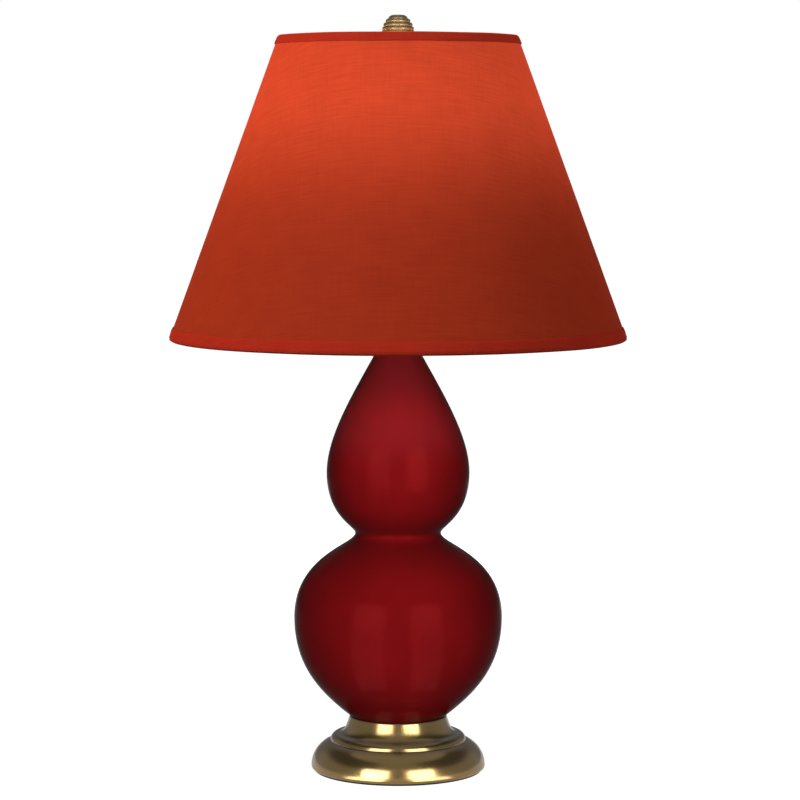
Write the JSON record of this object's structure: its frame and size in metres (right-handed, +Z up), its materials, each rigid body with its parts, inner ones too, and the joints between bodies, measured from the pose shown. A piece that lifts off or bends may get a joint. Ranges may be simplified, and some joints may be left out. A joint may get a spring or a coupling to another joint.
{
  "type": "double gourd table lamp",
  "caption": "Table lamp: hollow double-gourd ceramic body on a stepped brass foot, rotary socket, bulb, wire harp, tapered cloth shade and turned finial.",
  "frame": {"origin": "centre of the foot's underside, on the surface that the lamp stands on", "axes": "+Z up along the lamp's axis, -Y towards the front, where the switch knob points, +Y towards the back, where the cord leaves the foot, +X to the right seen from the front"},
  "size_m": [0.33, 0.33, 0.545],
  "materials": {
    "aged_brass": "satin antique",
    "polished_brass": "satin",
    "oxblood_glaze": "high gloss glaze",
    "red_shade_cloth": "plain weave with slubs",
    "red_trim_cloth": "folded self trim",
    "cream_lining": "matte laminated lining",
    "dark_felt": "felt",
    "raw_iron": "cast",
    "zinc_steel": "zinc plated",
    "black_rubber": "matte",
    "black_plastic": "matte moulded",
    "grey_board": "pressed board",
    "brown_moulding": "moulded",
    "brown_plastic": "moulded gloss",
    "bare_aluminium": "satin",
    "solder_tip": "soldered",
    "black_glass": "gloss",
    "frosted_glass": "frosted inside",
    "clear_glass": "clear",
    "hot_filament": "lit wire"
  },
  "bodies": {
    "base": {"felt_pad": "dark_felt", "pedestal": "aged_brass", "cord_bushing": "black_plastic", "base_weight": "raw_iron", "pipe_washer": "zinc_steel", "pipe_locknut": "zinc_steel", "lamp_pipe": "zinc_steel", "seat_gasket": "black_rubber", "gourd_body": "oxblood_glaze", "vase_cap": "aged_brass", "neck_tube": "aged_brass", "harp_saddle": "aged_brass", "saddle_nut": "aged_brass", "socket_cap": "polished_brass", "cap_set_screw": "zinc_steel", "socket_shell": "polished_brass", "socket_liner": "grey_board", "socket_core": "brown_moulding", "terminal_screws": "polished_brass", "screw_shell": "bare_aluminium", "centre_contact": "polished_brass"},
    "switch": {"switch_shaft": "zinc_steel", "switch_knob": "brown_plastic"},
    "bulb": {"bulb_cap": "bare_aluminium", "bulb_tip": "solder_tip", "bulb_insulator": "black_glass", "bulb_glass": "frosted_glass", "bulb_stem": "clear_glass", "bulb_leads": "zinc_steel", "filament": "hot_filament"},
    "harp": {"harp_bow": "aged_brass", "harp_foot_left": "aged_brass", "harp_foot_right": "aged_brass", "harp_head": "aged_brass", "harp_stud": "aged_brass"},
    "sleeve_left": {"harp_sleeve_left": "aged_brass"},
    "sleeve_right": {"harp_sleeve_right": "aged_brass"},
    "shade": {"spider_fitter": "aged_brass", "bottom_ring": "aged_brass", "shade_liner": "cream_lining", "shade_cover": "red_shade_cloth", "bottom_trim": "red_trim_cloth", "top_trim": "red_trim_cloth"},
    "finial": {"finial": "aged_brass"}
  },
  "joints": [
    {"name": "switch_turn", "type": "hinge", "parent": "base", "child": "switch", "pos_m": [0, -0.0245, 0.35645], "axis": [0, -1, 0], "continuous": true},
    {"name": "bulb_screw", "type": "hinge", "parent": "base", "child": "bulb", "pos_m": [0, 0, 0.387], "axis": [0, 0, 1], "continuous": true},
    {"name": "harp_lift", "type": "slide", "parent": "base", "child": "harp", "axis": [0, 0, 1], "range_m": [0, 0.03]},
    {"name": "sleeve_left_slide", "type": "slide", "parent": "harp", "child": "sleeve_left", "axis": [0, 0, 1], "range_m": [0, 0.012]},
    {"name": "sleeve_right_slide", "type": "slide", "parent": "harp", "child": "sleeve_right", "axis": [0, 0, 1], "range_m": [0, 0.012]},
    {"name": "shade_turn", "type": "hinge", "parent": "harp", "child": "shade", "pos_m": [0, 0, 0.5204], "axis": [0, 0, 1], "continuous": true},
    {"name": "finial_screw", "type": "hinge", "parent": "harp", "child": "finial", "pos_m": [0, 0, 0.5265], "axis": [0, 0, 1], "continuous": true}
  ]
}
